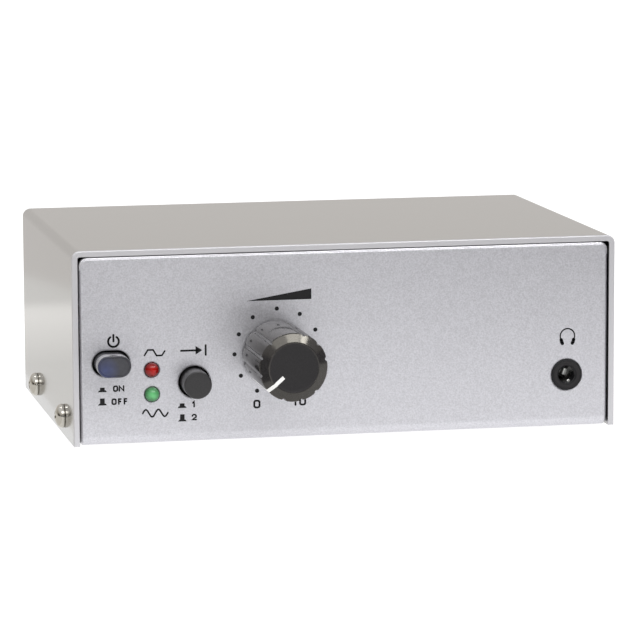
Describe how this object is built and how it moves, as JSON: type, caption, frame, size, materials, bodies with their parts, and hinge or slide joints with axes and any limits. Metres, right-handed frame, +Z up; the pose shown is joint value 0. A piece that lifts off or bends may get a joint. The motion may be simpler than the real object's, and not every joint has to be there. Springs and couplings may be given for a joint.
{
  "type": "phono preamp",
  "caption": "Small desktop box with a folded metal case, a fluted gain knob, two push buttons, two lamps and a headphone socket in front, and phono sockets behind.",
  "frame": {"origin": "on the ground under the middle of the whole preamplifier, knob and sockets included", "axes": "+X to the right as seen from the front, +Y to the back, +Z up; the knob and the buttons are on the -Y side"},
  "size_m": [0.1176, 0.1064, 0.0414],
  "materials": {
    "case_aluminium": "bead-blasted, clear anodised",
    "bright_screws": "polished nickel plating",
    "zinc_steel": "zinc plating",
    "nickel_brass": "nickel plating on brass",
    "foot_rubber": "matt black",
    "board_laminate": "green glass-fibre laminate",
    "black_matt_plastic": "matt black",
    "black_gloss_plastic": "glossy black",
    "smoke_plastic": "dark smoky blue-grey, glossy",
    "white_plastic": "white",
    "red_plastic": "red",
    "red_lens": "clear red resin",
    "green_lens": "clear green resin",
    "blue_sleeve": "dark blue sleeve",
    "film_box": "dull red",
    "resistor_body": "black epoxy",
    "gilt_contact": "thin gilding"
  },
  "bodies": {
    "chassis": {"chassis_tray": "case_aluminium", "top_cover": "case_aluminium", "cover_screws": "bright_screws", "rubber_feet": "foot_rubber", "main_board": "board_laminate", "board_standoffs": "nickel_brass", "board_screws": "zinc_steel", "gain_pot_body": "black_matt_plastic", "gain_pot_bushing": "nickel_brass", "gain_pot_washer": "zinc_steel", "gain_pot_nut": "nickel_brass", "power_switch_body": "black_matt_plastic", "input_switch_body": "black_matt_plastic", "red_lamp": "red_lens", "green_lamp": "green_lens", "lamp_holder": "black_matt_plastic", "lamp_leads": "zinc_steel", "headphone_jack_body": "black_gloss_plastic", "headphone_jack_springs": "gilt_contact", "output_socket_block": "black_matt_plastic", "output_socket_shells": "nickel_brass", "input_socket_block": "black_matt_plastic", "input_socket_shells": "nickel_brass", "white_socket_inserts": "white_plastic", "red_socket_inserts": "red_plastic", "socket_centre_contacts": "gilt_contact", "ground_stud": "nickel_brass", "ground_lock_nut": "nickel_brass", "ground_flange": "nickel_brass", "usb_shell": "zinc_steel", "usb_insulator": "white_plastic", "usb_contacts": "gilt_contact", "dc_inlet_body": "black_matt_plastic", "dc_inlet_pin": "nickel_brass", "electrolytic_capacitors": "blue_sleeve", "film_capacitors": "film_box", "amplifier_chips": "black_matt_plastic", "converter_chip": "black_matt_plastic", "crystal": "zinc_steel", "voltage_regulator": "black_matt_plastic", "resistors": "resistor_body"},
    "gain_control": {"gain_pot_shaft": "zinc_steel", "gain_knob": "black_gloss_plastic", "knob_pointer": "white_plastic"},
    "power_push": {"power_button": "smoke_plastic", "power_plunger": "white_plastic"},
    "input_push": {"input_button": "black_matt_plastic", "input_plunger": "white_plastic"},
    "thumb_nut": {"ground_thumb_nut": "nickel_brass"}
  },
  "joints": [
    {"name": "gain_turn", "type": "hinge", "parent": "chassis", "child": "gain_control", "pos_m": [-0.01505, -0.0345, 0.0191], "axis": [0, 1, 0], "range_deg": [-19, 281]},
    {"name": "power_press", "type": "slide", "parent": "chassis", "child": "power_push", "axis": [0, 1, 0], "range_m": [0, 0.0025], "stiffness_N_per_m": 250, "springref_m": -0.001},
    {"name": "input_press", "type": "slide", "parent": "chassis", "child": "input_push", "axis": [0, 1, 0], "range_m": [0, 0.0025], "stiffness_N_per_m": 250, "springref_m": -0.001},
    {"name": "thumb_nut_turn", "type": "hinge", "parent": "chassis", "child": "thumb_nut", "pos_m": [0.0412, 0.0436, 0.0148], "axis": [0, 1, 0], "range_deg": [0, 720]}
  ]
}
